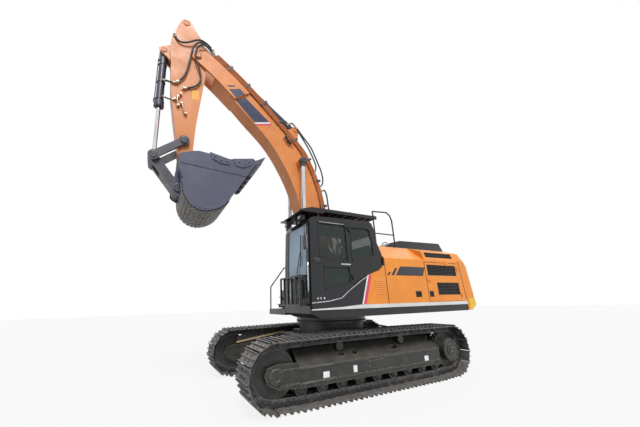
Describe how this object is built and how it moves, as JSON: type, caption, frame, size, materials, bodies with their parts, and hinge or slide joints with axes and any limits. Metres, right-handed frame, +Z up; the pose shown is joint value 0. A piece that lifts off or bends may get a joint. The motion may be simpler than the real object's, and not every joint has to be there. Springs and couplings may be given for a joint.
{
  "type": "crawler excavator",
  "caption": "Full-size crawler excavator with cab, boom, arm, bucket and hydraulic cylinders, on steel tracks; it slews, lifts, crowds and curls.",
  "frame": {"origin": "on the ground, under the middle of the machine's overall length and width in the stored pose", "axes": "+X forward along the boom, +Y to the left (the cab's side), +Z up"},
  "size_m": [7.9018, 3.19, 8.315],
  "materials": {
    "body_paint": "orange enamel, semi-gloss",
    "black_paint": "black enamel, satin",
    "bucket_paint": "dark slate enamel, satin",
    "frame_paint": "dark grey enamel, dusty",
    "track_steel": "bare cast steel, dusty",
    "rod_chrome": "hard chrome, polished",
    "tube_paint": "navy black enamel, satin",
    "seat_fabric": "black woven cloth",
    "trim_plastic": "moulded grey plastic",
    "engine_iron": "painted castings",
    "tooth_steel": "cast steel",
    "rail_paint": "pale grey enamel",
    "window_glass": "tinted safety glass",
    "grille_paint": "black enamel on pressed bars"
  },
  "bodies": {
    "undercarriage": {"car_body": "frame_paint", "slew_ring_fixed": "frame_paint", "track_frame_left": "frame_paint", "track_frame_right": "frame_paint", "track_left": "track_steel", "track_right": "track_steel", "idler_left": "frame_paint", "idler_right": "frame_paint", "sprocket_left": "frame_paint", "sprocket_right": "frame_paint", "rollers_left": "frame_paint", "rollers_right": "frame_paint"},
    "upper": {"swing_frame": "black_paint", "slew_ring_turning": "black_paint", "counterweight": "body_paint", "body_shell_left": "body_paint", "body_shell_right": "body_paint", "rear_panels": "body_paint", "hood_top": "body_paint", "bulkhead": "black_paint", "engine": "engine_iron", "fuel_tank": "body_paint", "tool_box": "black_paint", "cab_shell": "black_paint", "roof_guard": "black_paint", "front_guard": "black_paint", "seat": "seat_fabric", "front_panel_left": "body_paint", "cab_skirt": "black_paint", "handrails": "rail_paint", "body_grilles": "grille_paint", "sills": "rail_paint", "cab_glass": "window_glass", "work_lamps": "trim_plastic"},
    "cab_door": {"cab_door": "black_paint", "door_glass": "window_glass"},
    "side_door_left": {"side_door_left": "body_paint", "door_grille_left": "grille_paint"},
    "side_door_right": {"side_door_right": "body_paint", "door_grille_right": "grille_paint"},
    "engine_bonnet": {"engine_bonnet": "black_paint"},
    "boom": {"boom": "body_paint"},
    "lift_barrels": {"lift_barrels": "tube_paint"},
    "lift_rods": {"lift_rods": "rod_chrome"},
    "arm": {"arm": "body_paint"},
    "crowd_barrel": {"crowd_barrel": "tube_paint"},
    "crowd_rod": {"crowd_rod": "rod_chrome"},
    "curl_barrel": {"curl_barrel": "tube_paint"},
    "curl_rod": {"curl_rod": "rod_chrome"},
    "idler_links": {"idler_links": "black_paint"},
    "bucket_link": {"bucket_link": "black_paint"},
    "bucket": {"bucket": "bucket_paint", "bucket_teeth": "tooth_steel"}
  },
  "joints": [
    {"name": "slew", "type": "hinge", "parent": "undercarriage", "child": "upper", "pos_m": [-0.361, 0, 1.2], "axis": [0, 0, 1], "continuous": true},
    {"name": "boom_lift", "type": "hinge", "parent": "upper", "child": "boom", "pos_m": [-0.261, 0, 1.95], "axis": [0, -1, 0], "range_deg": [-88, 4]},
    {"name": "arm_crowd", "type": "hinge", "parent": "boom", "child": "arm", "pos_m": [3.119, 0, 7.28], "axis": [0, 1, 0], "range_deg": [-108, 2]},
    {"name": "bucket_curl", "type": "hinge", "parent": "arm", "child": "bucket", "pos_m": [3.174, 0, 4.33], "axis": [0, 1, 0], "range_deg": [-130, 35]},
    {"name": "lift_tilt", "type": "hinge", "parent": "upper", "child": "lift_barrels", "pos_m": [0.504, 0, 1.5], "axis": [0, -1, 0], "range_deg": [-90, 4.5]},
    {"name": "lift_slide", "type": "slide", "parent": "lift_barrels", "child": "lift_rods", "axis": [-0.0214, 0, 0.9998], "range_m": [-1.24, 0.06]},
    {"name": "crowd_tilt", "type": "hinge", "parent": "boom", "child": "crowd_barrel", "pos_m": [0.489, 0, 6.05], "axis": [0, -1, 0], "range_deg": [-0.5, 9]},
    {"name": "crowd_slide", "type": "slide", "parent": "crowd_barrel", "child": "crowd_rod", "axis": [0.8081, 0, 0.589], "range_m": [-1.57, 0.03]},
    {"name": "idler_swing", "type": "hinge", "parent": "arm", "child": "idler_links", "pos_m": [3.229, 0, 4.92], "axis": [0, 1, 0], "range_deg": [-84, 23]},
    {"name": "link_swing", "type": "hinge", "parent": "idler_links", "child": "bucket_link", "pos_m": [3.764, 0, 4.459], "axis": [0, 1, 0], "range_deg": [-16, 58]},
    {"name": "curl_tilt", "type": "hinge", "parent": "arm", "child": "curl_barrel", "pos_m": [3.842, 0, 7.239], "axis": [0, 1, 0], "range_deg": [-4, 1]},
    {"name": "curl_slide", "type": "slide", "parent": "curl_barrel", "child": "curl_rod", "axis": [-0.028, 0, -0.9996], "range_m": [-0.92, 0.25]},
    {"name": "cab_door_swing", "type": "hinge", "parent": "upper", "child": "cab_door", "pos_m": [0.074, 1.516, 1.5], "axis": [0, 0, 1], "range_deg": [0, 165]},
    {"name": "side_door_left_swing", "type": "hinge", "parent": "upper", "child": "side_door_left", "pos_m": [-3.136, 1.512, 1.5], "axis": [0, 0, 1], "range_deg": [0, 110]},
    {"name": "side_door_right_swing", "type": "hinge", "parent": "upper", "child": "side_door_right", "pos_m": [-3.136, -1.512, 1.5], "axis": [0, 0, -1], "range_deg": [0, 110]},
    {"name": "bonnet_lift", "type": "hinge", "parent": "upper", "child": "engine_bonnet", "pos_m": [-1.491, 0, 2.786], "axis": [0, 1, 0], "range_deg": [0, 55]}
  ],
  "couplings": [
    {"joint": "lift_tilt", "follows": "boom_lift", "ratio": 1.0173},
    {"joint": "lift_slide", "follows": "boom_lift", "m_per_rad": 0.8045},
    {"joint": "crowd_tilt", "follows": "arm_crowd", "ratio": -0.0794},
    {"joint": "crowd_slide", "follows": "arm_crowd", "m_per_rad": 0.8294},
    {"joint": "idler_swing", "follows": "bucket_curl", "ratio": 0.6382},
    {"joint": "link_swing", "follows": "bucket_curl", "ratio": -0.4432},
    {"joint": "curl_tilt", "follows": "bucket_curl", "ratio": 0.0275},
    {"joint": "curl_slide", "follows": "bucket_curl", "m_per_rad": 0.4028}
  ]
}
